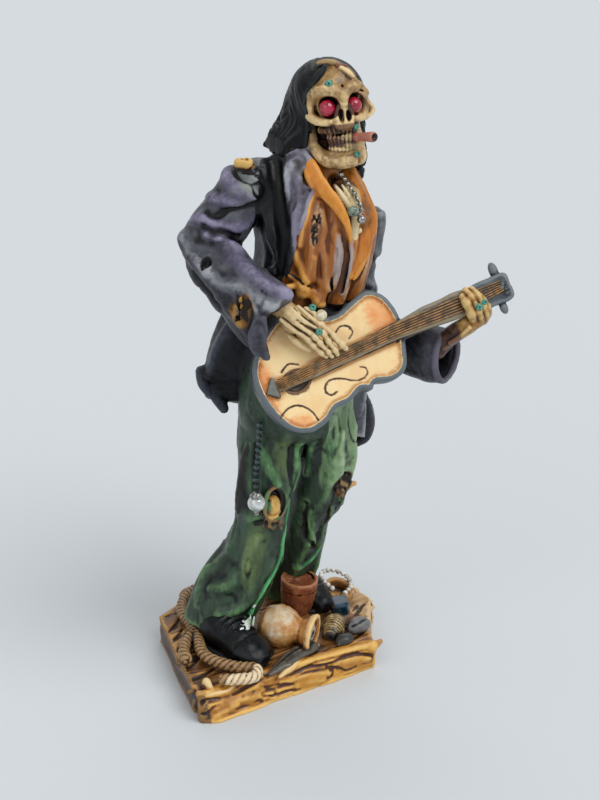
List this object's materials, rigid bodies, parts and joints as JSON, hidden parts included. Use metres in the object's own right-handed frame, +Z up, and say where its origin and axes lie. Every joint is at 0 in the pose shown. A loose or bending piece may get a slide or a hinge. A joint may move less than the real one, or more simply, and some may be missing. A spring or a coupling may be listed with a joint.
{
  "type": "skeletal guitarist figurine",
  "caption": "Cast resin figurine of a long-haired skeletal rocker in a worn coat, playing a guitar on a driftwood base with rope, jug and barrel.",
  "frame": {"origin": "under the driftwood base, on its flat underside, below the figure", "axes": "+Z up, the figure faces -Y and its right side is -X"},
  "size_m": [0.1495, 0.124, 0.2975],
  "materials": {
    "painted_resin": "hand-painted cast resin with dark wash and worn highlights",
    "guitar_resin": "painted cast resin, satin varnish",
    "red_bead": "polished",
    "turquoise": "polished stone look",
    "pearl": "pearl lustre",
    "silver_bead": "tarnished silver",
    "dark_bead": "dark teal glass look, silver end bead",
    "white_bead": "satin",
    "dark_crystal": "polished"
  },
  "bodies": {
    "root": {"figure": "painted_resin", "guitar": "guitar_resin", "eye_bead_right": "red_bead", "eye_bead_left": "red_bead", "brow_bead": "turquoise", "lip_bead": "turquoise", "chin_bead": "turquoise", "right_hand_bead": "turquoise", "right_hand_low_bead": "turquoise", "hand_pearl": "pearl", "left_hand_bead": "turquoise", "left_hand_side_bead": "turquoise", "necklace": "silver_bead", "pocket_chain": "dark_bead", "bead_string": "white_bead", "crystal": "dark_crystal"}
  },
  "joints": []
}
